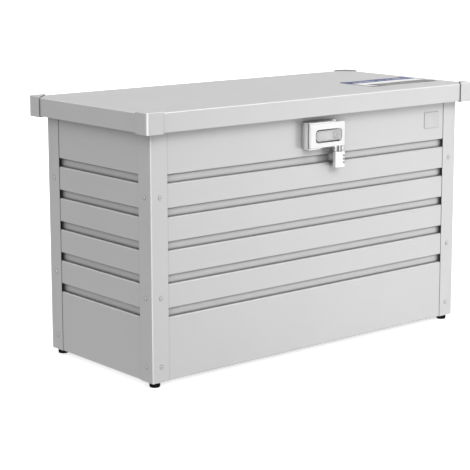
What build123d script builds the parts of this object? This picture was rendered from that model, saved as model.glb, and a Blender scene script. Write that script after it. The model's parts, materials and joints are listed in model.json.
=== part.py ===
from build123d import *
import os
from math import cos, radians, sin

# Lockable steel deck storage box: a slatted sheet-metal cabinet on four feet, with a hinged lid on
# two gas struts, a key lock, a hinged lock cover and a small combination padlock.
# Units are millimetres. +X runs right along the front, -Y is the front, +Z is up.
# The origin is on the floor under the middle of the lid.

os.makedirs("parts", exist_ok=True)

# ---------------------------------------------------------------- driving dimensions
# Whole box
lid_width = 1010.0            # over the corner caps
lid_depth = 460.0             # over the corner caps
overall_height = 610.0        # floor to the top of the corner caps
side_overhang = 28.7          # lid past the cabinet, left and right
front_overhang = 29.6
rear_overhang = 32.6

# Sheet metal
panel_sheet = 0.8
post_sheet = 1.0
lid_sheet = 0.8
bracket_sheet = 2.0
sheet_gap = 0.2               # between sheets that meet edge to face
cut_past = 1.0                # how far a cutting shape runs past the face it cuts

# Panels and their grooves
groove_count = 5
groove_pitch = 73.6
groove_height = 19.5
groove_depth = 8.0
groove_roll = 3.6             # rolled upper edge of each slat, on the sheet's middle line
groove_crease = 1.2           # tighter bends of a groove, on the middle line
top_band = 130.7              # rim down to the first groove
rim_flange = 20.0             # inward fold along the rim, front and sides
rear_rim_flange = 15.0
rim_lip = 8.0                 # downward lip of that fold
base_flange = 22.0            # inward fold along the bottom, front and rear
side_base_flange = 30.0
fold_radius = 1.6             # middle-line radius of every other fold

# Corner posts and their screws
post_flange = 44.5
post_radius = 2.2             # outside radius of the post's corner
post_screw_inset = 23.8       # screw from the outer corner
low_screw_height = 34.4       # lowest screw above the cabinet's bottom edge
screw_head_radius = 4.3
screw_head_height = 2.2
screw_head_steps = [(0.45, 1.0), (0.8, 0.78), (1.0, 0.3)]   # dome: share of radius, share of height
screw_radius = 2.4
screw_clearance = 0.2
screw_end = 1.0               # screw past its nut
screw_hole_depth = 5.0        # through the post and the panel behind it
nut_flats = 8.0
nut_height = 4.0

# Feet
foot_height = 12.6
foot_radius = 12.0
foot_sole_radius = 10.8
foot_flare_height = 2.3       # sole up to the full radius
foot_shoulder_height = 2.5    # slope under the cabinet
foot_shoulder_inset = 1.5
foot_inset = 18.4             # foot centre from the cabinet's outer faces
foot_stud_radius = 2.9
foot_stud_end = 2.0           # stud past its nut
foot_hole_gap = 0.4
foot_nut_flats = 10.0
foot_nut_height = 5.0
foot_nut_gap = 0.05

# Floor
floor_sheet = 0.8
floor_edge = 12.0             # turned-up edge, left and right
floor_rib_count = 4
floor_rib_pitch = 190.0
floor_rib_width = 40.0
floor_rib_height = 6.0
floor_gap = 0.5               # floor to the walls
anchor_hole_radius = 4.5
anchor_spacing_x = 380.0
anchor_spacing_y = 240.0

# Buffers between rim and lid
buffer_height = 6.0
buffer_gap = 0.3
buffer_radius = 7.0
buffer_chamfer = 1.2
buffer_inset_y = 36.0         # from the panel's outer face

# Lid
cap_wall = 2.6
skirt_height = 42.5
skirt_hem = 8.0
lid_edge_radius = 2.4
stiffener_end_gap = 14.5      # stiffener's end to the strut's lid bracket
stiffener_spacing = 190.0
stiffener_depth = 12.0
stiffener_top = 34.0          # width of the hat section's web
stiffener_flange = 14.0
stiffener_sheet = 0.8

# Lid corner caps
cap_leg = 43.0
cap_radius = 8.0
cap_hang = 2.5                # cap below the skirt's edge
cap_lip = 9.0                 # width of the lip under the skirt

# Lid hinges
hinge_inset = 146.3           # hinge centre in from the cabinet's left or right face
hinge_width = 90.0
hinge_leaf = 2.0
hinge_axis_drop = 7.9         # axis below the skirt's edge
hinge_axis_inset = 7.1        # axis in from the skirt's inner face
hinge_pin_radius = 3.0
hinge_running_gap = 0.05
hinge_knuckle_radius = 5.2
hinge_knuckle_gap = 0.4
hinge_middle_length = 34.0    # length of the lid leaf's knuckle
hinge_pin_head = 4.6
hinge_pin_head_height = 2.0
hinge_leaf_height = 46.0      # cabinet leaf
hinge_wing_height = 34.0      # lid leaf above the knee
rivet_radius = 2.4
rivet_head_radius = 4.0
rivet_head_height = 1.4
rivet_crown_radius = 3.3      # flat top of a rivet's head
rivet_inset = 10.0            # rivet from the ends of a leaf

# Gas struts
strut_plane = 37.3            # strut axis in from the side panel's outer face
strut_foot_inset = 96.4       # lower pivot ahead of the rear panel's outer face
strut_foot_slat = 1           # slat that carries it, counted down from the rim's band
strut_head_inset = 126.4      # upper pivot ahead of the rear panel's outer face
strut_lid_drop = 30.6         # upper pivot below the lid sheet
strut_tube_radius = 9.0
strut_tube_length = 165.0
strut_tube_start = 15.0       # tube above the lower pivot
strut_neck_width = 12.8       # flat neck between the tube and its eye
strut_rod_radius = 4.0
strut_rod_gap = 0.06
strut_rod_reach = 157.0       # rod inside the tube, lid closed
strut_collar_radius = 6.4     # collar under the rod's eye
strut_collar_length = 10.5
strut_eye_radius = 8.0
strut_eye_width = 8.0
strut_pin_radius = 4.0
strut_pin_gap = 0.05
strut_boss_radius = 7.0
strut_side_gap = 0.5          # between moving faces along X
strut_plate_width = 38.0
strut_plate_height = 40.0
strut_pin_head_radius = 5.5
strut_pin_head_height = 2.0
strut_lid_plate_length = 30.0

# Lock body and key barrel
lock_x = 46.0                 # key barrel from the middle of the box
lock_drop = 89.85             # key barrel below the lid sheet
lock_face_width = 77.0
lock_face_height = 25.5
lock_face_radius = 9.0
lock_face_right = 12.0        # lock face past the key barrel's axis
lock_face_stand = 22.3        # front of the lock face off the panel
lock_edge_radius = 0.8
lock_tail_radius = 11.0
lock_tail_length = 14.0
lock_tail_gap = 0.3
lock_nut_flats = 30.0
lock_nut_height = 4.0
lock_nut_gap = 0.1
barrel_radius = 8.0
barrel_gap = 0.05
barrel_proud = 0.6
barrel_chamfer = 0.35
barrel_tail = 3.0             # barrel past the tail of the lock body
barrel_square = 7.0
key_slot_width = 1.4
key_slot_height = 9.0
key_slot_depth = 8.0
cam_sheet = 2.5
cam_width = 14.0
cam_reach = 49.5
cam_finger = 4.5              # finger's height along the arm
cam_finger_length = 9.0

# Strike on the lid
strike_width = 30.0
strike_lip_width = 16.0
strike_play = 1.95            # finger above the strike's lip
strike_clear = 2.9            # finger's end to the strike plate
strike_lip_setback = 2.5      # cam arm to the edge of the strike's lip
strike_top_flange = 16.0

# Lock cover and its bracket
cover_left = 35.5             # cover plate's left edge from the middle of the box
cover_width = 104.5
cover_height = 56.5
cover_rise = 2.0              # cover's middle above the key barrel's axis
cover_stand = 25.0            # cover's front face off the panel
cover_sheet = 2.0
cover_corner = 3.0
window_width = 83.0
window_height = 31.0
window_corner = 9.0
window_left = 13.0            # window in from the cover plate's left edge
cover_pin_radius = 1.8
cover_pin_gap = 0.06
cover_pin_end = 1.0           # pin past the ears
cover_pin_head_radius = 2.9
cover_pin_head_height = 1.2
cover_barrel_radius = 3.5
cover_end_gap = 0.5
bracket_ear_right = 46.0      # upper ear's right end
bracket_ear_flat = 12.0       # where the upper ear's front edge starts to curve back
bracket_low_ear_right = 14.0
bracket_left_margin = 4.2     # bracket's left face from the pin's axis
bracket_wall_slot = 6.5       # open slot between the panel and the bracket's left wall
bracket_right = 62.0
bracket_fit = 0.4
bracket_rivet_inset = 10.0    # rivets from the bracket's left, top and bottom edges
bracket_rivet_right = 6.0     # upper right rivet from the right edge
bracket_rivet_low = 6.7       # middle rivet from the bottom edge
wall_gap = 0.7                # bracket's left wall to the cover's hinge barrel

# Padlock and what it hangs from
padlock_x = 56.5
padlock_stand = 18.5          # middle of the padlock off the panel
padlock_width = 30.8
padlock_height = 36.5
padlock_depth = 11.0
padlock_edge = 2.4
shackle_radius = 2.5
shackle_spacing = 22.0
shackle_hang = 22.0           # top of the case below the hole in the lug
shackle_short_leg = 8.0       # short leg inside the case
shackle_long_leg = 30.0       # long leg inside the case
shackle_bore_gap = 0.1
lug_sheet = 2.5
lug_hole_radius = 3.1
lug_radius = 5.8
lug_hole_spacing = 10.2
lug_hole_drop = 19.25         # hole below the key barrel's axis
lug_tongue_width = 4.6
lug_tongue_length = 20.0
staple_gap = 0.65
staple_sheet = 2.0
dial_count = 3
dial_radius = 6.0
dial_thickness = 4.6
dial_pitch = 8.2
dial_side_gap = 0.15
dial_window_gap = 0.3
dial_bore_gap = 0.1
dial_top = 9.5                # first dial's middle below the top of the case
dial_flutes = 10
dial_flute_radius = 0.7

# ---------------------------------------------------------------- places worked out from them
body_x = lid_width / 2 - side_overhang            # cabinet's outer faces
body_front = -lid_depth / 2 + front_overhang
body_rear = lid_depth / 2 - rear_overhang
panel_x = body_x - post_sheet                     # panels' outer faces, inside the posts
panel_front = body_front + post_sheet
panel_rear = body_rear - post_sheet
lid_top = overall_height - cap_wall
lid_under = lid_top - lid_sheet
rim_z = lid_under - buffer_gap - buffer_height
skirt_x = lid_width / 2 - cap_wall                # skirt's outer faces
skirt_y = lid_depth / 2 - cap_wall
skirt_inner = skirt_y - lid_sheet                 # rear skirt's inner face
skirt_bottom = lid_top - skirt_height
groove_bottom_inset = groove_depth + panel_sheet  # how far a groove reaches into the box

# Grooves, counted down from the rim: upper edge, then lower edge
groove_tops = [rim_z - top_band - k * groove_pitch for k in range(groove_count)]
groove_feet = [top - groove_height for top in groove_tops]


def slat_middle(k):
    """Middle height of the flat slat under groove k."""
    return (groove_feet[k] - groove_roll + groove_tops[k + 1]) / 2


UP = Vector(0, 0, 1)
RIGHT = Vector(1, 0, 0)
BACK = Vector(0, 1, 0)
FORE = Vector(0, -1, 0)
STANDING = (Align.CENTER, Align.CENTER, Align.MIN)


# ---------------------------------------------------------------- shared helpers
def block(x0, x1, y0, y1, z0, z1):
    return Pos((x0 + x1) / 2, (y0 + y1) / 2, (z0 + z1) / 2) * Box(abs(x1 - x0), abs(y1 - y0), abs(z1 - z0))


def rod_x(radius, x0, x1, y, z):
    return Pos((x0 + x1) / 2, y, z) * Rot(0, 90, 0) * Cylinder(radius, abs(x1 - x0))


def rod_y(radius, y0, y1, x, z):
    return Pos(x, (y0 + y1) / 2, z) * Rot(90, 0, 0) * Cylinder(radius, abs(y1 - y0))


def rod_z(radius, z0, z1, x, y):
    return Pos(x, y, (z0 + z1) / 2) * Cylinder(radius, abs(z1 - z0))


def along(origin, direction):
    """Plane whose Z points in a direction."""
    return Plane(origin=origin, z_dir=direction)


def mirror_x(shape):
    return mirror(shape, about=Plane.YZ)


def strip(points, radii, thickness):
    """Folded sheet seen end on: a middle line with rounded corners, given its thickness."""
    return trace(FilletPolyline(*points, radius=radii), thickness)


def hex_nut(flats, height, bore):
    outline = RegularPolygon(flats / 2, 6, major_radius=False) - Circle(bore)
    return extrude(outline, height)


def save(node, shape):
    export_step(shape, f"parts/{node}.step")


def group(shapes):
    return Compound(children=list(shapes))


# Corners as signs of X and Y, with their names
corners = {(-1, -1): "front_left", (1, -1): "front_right", (-1, 1): "rear_left", (1, 1): "rear_right"}


def front_or_rear(sign_y, front, rear):
    return front if sign_y < 0 else rear


# ---------------------------------------------------------------- cabinet panels
def wall_plane(origin, inward):
    """Sketch plane whose X runs into the box and whose Y runs up."""
    return Plane(origin=origin, x_dir=inward, z_dir=inward.cross(UP))


def panel_section(top_flange, bottom_flange):
    """End view of a wall: bottom fold, grooved face, rim fold and its lip."""
    half = panel_sheet / 2
    deep = groove_depth + half
    lip_x = top_flange - half
    points = [(bottom_flange, foot_height + half), (half, foot_height + half)]
    radii = [fold_radius]
    for top, foot in zip(reversed(groove_tops), reversed(groove_feet)):
        points += [(half, foot - half), (deep, foot - half), (deep, top + half), (half, top + half)]
        radii += [groove_roll, groove_crease, groove_crease, groove_crease]
    points += [(half, rim_z - half), (lip_x, rim_z - half), (lip_x, rim_z - rim_lip)]
    radii += [fold_radius, fold_radius]
    return strip(points, radii, panel_sheet)


def wall(origin, inward, length, top_flange, bottom_flange):
    section = wall_plane(origin, inward) * panel_section(top_flange, bottom_flange)
    return extrude(section, length)


side_fold_reach = post_sheet + rim_flange + sheet_gap
side_base_reach = post_sheet + side_base_flange + sheet_gap
notch_inset = fold_radius + panel_sheet    # keeps the notches clear of the face sheet


def long_wall(outer_y, inward, top_flange):
    """Front or rear wall between the posts' bends, its folds stopped short of the side walls'."""
    reach = panel_x - post_radius
    origin = Vector(-reach if inward.Y > 0 else reach, outer_y, 0)
    shape = wall(origin, inward, 2 * reach, top_flange, base_flange)
    near = outer_y + inward.Y * notch_inset
    far = outer_y + inward.Y * (max(top_flange, base_flange) + cut_past)
    for side in (-1, 1):
        outer = side * body_x
        rim_end = side * (body_x - side_fold_reach)
        base_end = side * (body_x - side_base_reach)
        shape -= block(rim_end, outer, near, far, rim_z - rim_lip - cut_past, rim_z + cut_past)
        shape -= block(base_end, outer, near, far, foot_height - cut_past, foot_height + notch_inset)
    return shape


side_front = panel_front + groove_bottom_inset + sheet_gap
side_rear = panel_rear - groove_bottom_inset - sheet_gap


def side_wall(inward):
    """Left or right wall, between the grooves of the front and the rear."""
    origin = Vector(-inward.X * panel_x, side_rear if inward.X > 0 else side_front, 0)
    return wall(origin, inward, side_rear - side_front, rim_flange, side_base_flange)


screw_heights = [slat_middle(0), slat_middle(groove_count - 2), foot_height + low_screw_height]
screw_x = body_x - post_screw_inset
screw_front = body_front + post_screw_inset
screw_rear = body_rear - post_screw_inset


def screw_axes():
    """Every post screw: its place on the post's outer face and the direction in."""
    axes = []
    for sx, sy in corners:
        face_y = front_or_rear(sy, body_front, body_rear)
        side_y = front_or_rear(sy, screw_front, screw_rear)
        for z in screw_heights:
            axes.append((Vector(sx * screw_x, face_y, z), Vector(0, -sy, 0)))
            axes.append((Vector(sx * body_x, side_y, z), Vector(-sx, 0, 0)))
    return axes


def drill_screws(shape):
    drill = Cylinder(screw_radius + screw_clearance, screw_hole_depth + cut_past, align=STANDING)
    for origin, inward in screw_axes():
        shape -= along(origin - inward * cut_past, inward) * drill
    return shape


def foot_spot(sx, sy):
    """Centre of a foot on the floor."""
    inset_front, inset_rear = body_front + foot_inset, body_rear - foot_inset
    return sx * (body_x - foot_inset), front_or_rear(sy, inset_front, inset_rear)


def drill_feet(shape, top):
    for sx, sy in corners:
        shape -= rod_z(foot_stud_radius + foot_hole_gap, foot_height - cut_past, top, *foot_spot(sx, sy))
    return shape


# Where the lock, its cover bracket and the hinges go through the panels
lock_z = lid_under - lock_drop
face_middle_x = lock_x + lock_face_right - lock_face_width / 2
pin_x = -cover_left - cover_barrel_radius / 2
bracket_left = pin_x - bracket_left_margin
cover_low = lock_z + cover_rise - cover_height / 2
cover_high = cover_low + cover_height
ear_low = cover_low - cover_end_gap - bracket_sheet
ear_high = cover_high + cover_end_gap + bracket_sheet
bracket_rivets = [
    (bracket_left + bracket_rivet_inset, ear_low + bracket_rivet_inset),
    (bracket_left + bracket_rivet_inset, ear_high - bracket_rivet_inset),
    (bracket_right - bracket_rivet_right, ear_high - bracket_rivet_inset),
    (face_middle_x, ear_low + bracket_rivet_low),
]
rivet_hole = rivet_radius + screw_clearance
hinge_centres = {"left": -(body_x - hinge_inset), "right": body_x - hinge_inset}
hinge_axis_z = skirt_bottom - hinge_axis_drop
hinge_axis_y = skirt_inner - hinge_axis_inset
leaf_top = hinge_axis_z - hinge_knuckle_radius - hinge_leaf
leaf_bottom = leaf_top - hinge_leaf_height


def hinge_rivets(centre_x):
    """Rivets through a cabinet leaf and the rear wall."""
    reach = hinge_width / 2 - rivet_inset
    heights = (leaf_bottom + rivet_inset, leaf_top - rivet_inset)
    return [(centre_x + side * reach, z) for side in (-1, 1) for z in heights]


def make_panels():
    front = drill_screws(long_wall(panel_front, BACK, rim_flange))
    front_in, front_out = panel_front + panel_sheet + cut_past, panel_front - cut_past
    front -= rod_y(lock_tail_radius + lock_tail_gap, front_out, front_in, lock_x, lock_z)
    for x, z in bracket_rivets:
        front -= rod_y(rivet_hole, front_out, front_in, x, z)
    rear = drill_screws(long_wall(panel_rear, FORE, rear_rim_flange))
    rear_in, rear_out = panel_rear - panel_sheet - cut_past, panel_rear + cut_past
    for centre_x in hinge_centres.values():
        for x, z in hinge_rivets(centre_x):
            rear -= rod_y(rivet_hole, rear_in, rear_out, x, z)
    left = drill_feet(drill_screws(side_wall(RIGHT)), foot_height + panel_sheet + cut_past)
    save("front_panel", front)
    save("rear_panel", rear)
    save("left_panel", left)
    save("right_panel", mirror_x(left))


# ---------------------------------------------------------------- corner posts and fasteners
def make_posts():
    half = post_sheet / 2
    points = [(post_flange, half), (half, half), (half, post_flange)]
    section = strip(points, [post_radius - half], post_sheet)
    post = extrude(Plane.XY.offset(foot_height) * section, rim_z - foot_height)
    for (sx, sy), name in corners.items():
        placed = post if sx < 0 else mirror_x(post)
        placed = placed if sy < 0 else mirror(placed, about=Plane.XZ)
        placed = Pos(sx * body_x, front_or_rear(sy, body_front, body_rear), 0) * placed
        save(f"{name}_post", drill_screws(placed))


def domed_screw(length):
    """Pan-head screw along +Z: the head stands below Z = 0, the shank above it."""
    dome = [(screw_head_radius * across, -screw_head_height * high) for across, high in screw_head_steps]
    shank = [(screw_head_radius, 0), (screw_radius, 0), (screw_radius, length), (0, length)]
    profile = make_face(Polyline((0, -screw_head_height), *dome, *shank, close=True))
    return revolve(Plane.XZ * profile, axis=Axis.Z)


def make_post_fasteners():
    grip = post_sheet + panel_sheet
    screw = domed_screw(grip + nut_height + screw_end)
    nut = hex_nut(nut_flats, nut_height, screw_radius)
    axes = screw_axes()
    save("post_screws", group(along(origin, inward) * screw for origin, inward in axes))
    save("post_nuts", group(along(origin + inward * grip, inward) * nut for origin, inward in axes))


# ---------------------------------------------------------------- floor and feet
floor_low = foot_height + panel_sheet
floor_side = panel_x - panel_sheet - floor_gap
floor_front = side_front + floor_gap
floor_rear = side_rear - floor_gap


def make_floor():
    half = floor_sheet / 2
    flat = floor_low + half
    edge_x = floor_side - half
    points = [(-edge_x, flat + floor_edge), (-edge_x, flat)]
    for k in range(floor_rib_count):
        middle = (k - (floor_rib_count - 1) / 2) * floor_rib_pitch
        foot, top = floor_rib_width / 2, floor_rib_width / 2 - floor_rib_height
        crest = flat + floor_rib_height
        points += [(middle - foot, flat), (middle - top, crest), (middle + top, crest), (middle + foot, flat)]
    points += [(edge_x, flat), (edge_x, flat + floor_edge)]
    section = strip(points, [fold_radius] * (len(points) - 2), floor_sheet)
    floor = extrude(Plane.XZ.offset(-floor_rear) * section, floor_rear - floor_front)
    top = floor_low + floor_sheet + cut_past
    floor = drill_feet(floor, top)
    for sx, sy in corners:
        x, y = sx * anchor_spacing_x / 2, sy * anchor_spacing_y / 2
        floor -= rod_z(anchor_hole_radius, floor_low - cut_past, top, x, y)
    save("floor_panel", floor)


def make_feet():
    nut_z = floor_low + floor_sheet
    stud_top = nut_z + foot_nut_height + foot_stud_end
    shoulder = foot_height - foot_shoulder_height
    outline = [(0, 0), (foot_sole_radius, 0), (foot_radius, foot_flare_height), (foot_radius, shoulder),
               (foot_radius - foot_shoulder_inset, foot_height), (foot_stud_radius, foot_height),
               (foot_stud_radius, stud_top), (0, stud_top)]
    foot = revolve(Plane.XZ * make_face(Polyline(*outline, close=True)), axis=Axis.Z)
    nut = Pos(0, 0, nut_z) * hex_nut(foot_nut_flats, foot_nut_height, foot_stud_radius + foot_nut_gap)
    for (sx, sy), name in corners.items():
        save(f"{name}_foot", Pos(*foot_spot(sx, sy), 0) * foot)
    save("foot_nuts", group(Pos(*foot_spot(sx, sy), 0) * nut for sx, sy in corners))


def make_buffers():
    x = panel_x - rim_flange / 2
    front, rear = panel_front + buffer_inset_y, panel_rear - buffer_inset_y
    stud = Cylinder(buffer_radius, buffer_height, align=STANDING)
    stud = chamfer(stud.edges().group_by(Axis.Z)[-1], buffer_chamfer)
    spots = [Pos(sx * x, front_or_rear(sy, front, rear), rim_z) for sx, sy in corners]
    save("lid_buffers", group(spot * stud for spot in spots))


# ---------------------------------------------------------------- lid
def lid_block(inset, z0, z1, corner):
    """Solid under the lid's outline, set in from the skirt's outer faces."""
    outline = RectangleRounded(2 * (skirt_x - inset), 2 * (skirt_y - inset), corner)
    return extrude(Plane.XY.offset(z0) * outline, z1 - z0)


def rounded_lid(inset, z0, z1, corner):
    shape = lid_block(inset, z0, z1, corner)
    return fillet(shape.edges().group_by(Axis.Z)[-1], corner)


def wing_rivets(centre_x):
    """Rivets through a lid leaf and the rear skirt."""
    z = skirt_bottom + hinge_wing_height - rivet_inset
    reach = hinge_width / 2 - rivet_inset
    return [(centre_x + side * reach, z) for side in (-1, 1)]


def make_lid():
    hem_top = skirt_bottom + lid_sheet
    tray = rounded_lid(0, skirt_bottom, lid_top, lid_edge_radius)
    tray -= rounded_lid(lid_sheet, skirt_bottom - cut_past, lid_under, lid_edge_radius - lid_sheet)
    hem = lid_block(lid_sheet / 2, skirt_bottom, hem_top, lid_edge_radius)
    hem -= lid_block(skirt_hem, skirt_bottom - cut_past, hem_top + cut_past, lid_edge_radius)
    tray += hem
    reach = hinge_width / 2 + hinge_leaf
    for centre_x in hinge_centres.values():
        tray -= block(centre_x - reach, centre_x + reach, skirt_y - skirt_hem - cut_past, skirt_inner,
                      skirt_bottom - cut_past, hem_top)
        for x, z in wing_rivets(centre_x):
            tray -= rod_y(rivet_hole, skirt_inner - cut_past, skirt_y + cut_past, x, z)
    save("lid_shell", tray)


# Struts lie just inside the side walls; their lid brackets end the stiffeners' room
strut_x = panel_x - strut_plane
strut_bracket_x = strut_x - strut_eye_width - strut_side_gap      # face of the lid bracket
stiffener_end_x = strut_bracket_x - strut_lid_plate_length / 2 - stiffener_end_gap


def make_stiffeners():
    half = stiffener_sheet / 2
    high = lid_under - half
    low = lid_under - stiffener_depth + half
    web = stiffener_top / 2
    foot = web + stiffener_depth / 2
    edge = foot + stiffener_flange
    points = [(-edge, high), (-foot, high), (-web, low), (web, low), (foot, high), (edge, high)]
    section = strip(points, [fold_radius] * (len(points) - 2), stiffener_sheet)
    bar = extrude(Plane.YZ.offset(-stiffener_end_x) * section, 2 * stiffener_end_x)
    save("front_lid_stiffener", Pos(0, -stiffener_spacing / 2, 0) * bar)
    save("rear_lid_stiffener", Pos(0, stiffener_spacing / 2, 0) * bar)


def make_caps():
    """Corner cap: two legs over the skirt, a three-cornered plate on top and a lip underneath."""
    x, y = -lid_width / 2, -lid_depth / 2
    low = skirt_bottom - cap_hang
    cap = block(x, x + cap_leg, y, y + cap_leg, low, overall_height)
    outer_edge = cap.edges().filter_by(Axis.Z).sort_by(lambda edge: edge.center().X + edge.center().Y)[0]
    cap = fillet(outer_edge, cap_radius)
    cap -= rounded_lid(0, skirt_bottom, lid_top, lid_edge_radius)
    inner = cap_wall + cap_lip
    cap -= block(x + inner, 0, y + inner, 0, low - cut_past, lid_top)
    past = cap_leg + cut_past
    off_corner = [(x + cap_leg, y + cap_wall), (x + past, y + cap_wall), (x + past, y + past),
                  (x + cap_wall, y + past), (x + cap_wall, y + cap_leg)]
    off_face = make_face(Polyline(*off_corner, close=True))
    cap -= extrude(Plane.XY.offset(lid_top) * off_face, cap_wall + cut_past)
    rear_cap = mirror(cap, about=Plane.XZ)
    save("front_left_cap", cap)
    save("front_right_cap", mirror_x(cap))
    save("rear_left_cap", rear_cap)
    save("rear_right_cap", mirror_x(rear_cap))


# ---------------------------------------------------------------- lid hinges
def hinge_rod(radius, x0, x1):
    """Rod about the hinge axis."""
    return rod_x(radius, x0, x1, hinge_axis_y, hinge_axis_z)


def rivet(origin, inward, grip):
    """Rivet with a head on each side of the sheets that it grips."""
    far = grip + rivet_head_height
    outline = [(0, -rivet_head_height), (rivet_crown_radius, -rivet_head_height), (rivet_head_radius, 0),
               (rivet_radius, 0), (rivet_radius, grip), (rivet_head_radius, grip), (rivet_crown_radius, far),
               (0, far)]
    return along(origin, inward) * revolve(Plane.XZ * make_face(Polyline(*outline, close=True)), axis=Axis.Z)


def make_hinges():
    """A cabinet leaf, a lid leaf and a pin, made about X = 0 and set in both places."""
    half = hinge_leaf / 2
    end_x, middle_x = hinge_width / 2, hinge_middle_length / 2
    pin_end_x = end_x + hinge_pin_head_height
    below, above = hinge_axis_z - hinge_knuckle_radius, hinge_axis_z + hinge_knuckle_radius
    axis = (hinge_axis_y, hinge_axis_z)

    leaf_y = panel_rear + half
    leaf_line = strip([(leaf_y, leaf_bottom), (leaf_y, leaf_top), axis], [hinge_leaf], hinge_leaf)
    leaf = extrude(Plane.YZ.offset(-end_x) * leaf_line, hinge_width)
    leaf += hinge_rod(hinge_knuckle_radius, -end_x, end_x)
    room = middle_x + hinge_knuckle_gap
    leaf -= block(-room, room, panel_rear + hinge_leaf, hinge_axis_y + hinge_knuckle_radius + cut_past,
                  leaf_top - 2 * hinge_leaf, above + cut_past)

    wing_y = skirt_inner - half
    knee = (wing_y, skirt_bottom + hinge_leaf)
    wing_line = strip([(wing_y, skirt_bottom + hinge_wing_height), knee, axis], [hinge_leaf], hinge_leaf)
    wing = extrude(Plane.YZ.offset(-end_x) * wing_line, hinge_width)
    for side in (-1, 1):
        wing -= block(side * middle_x, side * (end_x + cut_past),
                      hinge_axis_y - hinge_knuckle_radius - cut_past, skirt_y, below - cut_past,
                      skirt_bottom + lid_sheet)
    wing += hinge_rod(hinge_knuckle_radius, -middle_x, middle_x)

    bore = hinge_rod(hinge_pin_radius + hinge_running_gap, -end_x - cut_past, end_x + cut_past)
    leaf -= bore
    wing -= bore
    for x, z in hinge_rivets(0):
        leaf -= rod_y(rivet_hole, panel_rear - cut_past, panel_rear + hinge_leaf + cut_past, x, z)
    for x, z in wing_rivets(0):
        wing -= rod_y(rivet_hole, skirt_inner - hinge_leaf - cut_past, skirt_inner + cut_past, x, z)

    pin = hinge_rod(hinge_pin_radius, -pin_end_x, pin_end_x)
    for side in (-1, 1):
        pin += hinge_rod(hinge_pin_head, side * end_x, side * pin_end_x)

    leaf_rivets, lid_rivets = [], []
    for side, centre_x in hinge_centres.items():
        save(f"{side}_hinge_leaf", Pos(centre_x, 0, 0) * leaf)
        save(f"{side}_hinge_wing", Pos(centre_x, 0, 0) * wing)
        save(f"{side}_hinge_pin", Pos(centre_x, 0, 0) * pin)
        for x, z in hinge_rivets(centre_x):
            leaf_rivets.append(rivet(Vector(x, panel_rear + hinge_leaf, z), FORE, hinge_leaf + panel_sheet))
        for x, z in wing_rivets(centre_x):
            lid_rivets.append(rivet(Vector(x, skirt_y, z), FORE, lid_sheet + hinge_leaf))
    save("hinge_leaf_rivets", group(leaf_rivets))
    save("hinge_wing_rivets", group(lid_rivets))


# ---------------------------------------------------------------- gas struts
strut_foot = Vector(0, panel_rear - strut_foot_inset, slat_middle(strut_foot_slat))
strut_head = Vector(0, panel_rear - strut_head_inset, lid_under - strut_lid_drop)
strut_line = (strut_head - strut_foot).normalized()
strut_length = (strut_head - strut_foot).length


def make_struts():
    """Left strut, and its mirror image on the right."""
    inner, outer = -strut_x + strut_eye_width / 2, -strut_x - strut_eye_width / 2
    foot_y, foot_z = strut_foot.Y, strut_foot.Z
    head_y, head_z = strut_head.Y, strut_head.Z
    up_strut = Plane(origin=strut_foot + RIGHT * -strut_x, x_dir=RIGHT, z_dir=strut_line)

    def stretch(radius, start, end):
        """Rod about the strut's line, between two distances from the lower pivot."""
        return up_strut * Pos(0, 0, start) * Cylinder(radius, end - start, align=STANDING)

    wall_face = -panel_x + panel_sheet
    reach_y, reach_z = strut_plate_width / 2, strut_plate_height / 2
    pin_start = inner + strut_side_gap
    pin_end = pin_start + strut_pin_head_height
    foot = block(wall_face, wall_face + bracket_sheet, foot_y - reach_y, foot_y + reach_y,
                 foot_z - reach_z, foot_z + reach_z)
    foot += rod_x(strut_boss_radius, wall_face, outer - strut_side_gap, foot_y, foot_z)
    foot += rod_x(strut_pin_radius - strut_pin_gap, wall_face, pin_end, foot_y, foot_z)
    foot += rod_x(strut_pin_head_radius, pin_start, pin_end, foot_y, foot_z)

    mouth = strut_tube_start + strut_tube_length
    rod_start = mouth - strut_rod_reach
    tube = stretch(strut_tube_radius, strut_tube_start, mouth)
    tube += up_strut * Box(strut_eye_width, strut_neck_width, strut_tube_start, align=STANDING)
    tube += rod_x(strut_eye_radius, outer, inner, foot_y, foot_z)
    tube -= rod_x(strut_pin_radius, outer - cut_past, inner + cut_past, foot_y, foot_z)
    tube -= stretch(strut_rod_radius + strut_rod_gap, rod_start - cut_past, mouth + cut_past)

    collar_start = strut_length - strut_tube_start
    bracket_face = -strut_bracket_x
    rod = stretch(strut_rod_radius, rod_start, strut_length)
    rod += stretch(strut_collar_radius, collar_start, collar_start + strut_collar_length)
    rod += rod_x(strut_eye_radius, outer, inner, head_y, head_z)
    rod += rod_x(strut_pin_radius, outer, bracket_face - strut_side_gap, head_y, head_z)

    half = strut_lid_plate_length / 2
    front, rear = head_y - half, head_y + half
    low = head_z - strut_eye_radius
    bracket = block(bracket_face, bracket_face + bracket_sheet, front, rear, low, lid_under)
    bracket += block(bracket_face, bracket_face + half, front, rear, lid_under - bracket_sheet, lid_under)

    left = {"strut_foot": foot, "strut_tube": tube, "strut_rod": rod, "strut_lid_bracket": bracket}
    for name, shape in left.items():
        save(f"left_{name}", shape)
        save(f"right_{name}", mirror_x(shape))


# ---------------------------------------------------------------- key lock and its strike
def off_panel(stand):
    """Y of a place that stands this far in front of the front panel."""
    return panel_front - stand


def lock_outline(grow):
    width, height = lock_face_width + 2 * grow, lock_face_height + 2 * grow
    return RectangleRounded(width, height, lock_face_radius + grow)


def front_extrude(outline, x, z, near, far):
    """Sketch in X and Z, from one stand-off from the panel to a larger one."""
    plane = Plane(origin=(x, off_panel(near), z), x_dir=RIGHT, z_dir=FORE)
    return extrude(plane * outline, far - near)


def at_lock(half_width, half_height, y0, y1, x=lock_x):
    """Block about the key barrel's axis, or about another X at its height."""
    return block(x - half_width, x + half_width, y0, y1, lock_z - half_height, lock_z + half_height)


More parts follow.
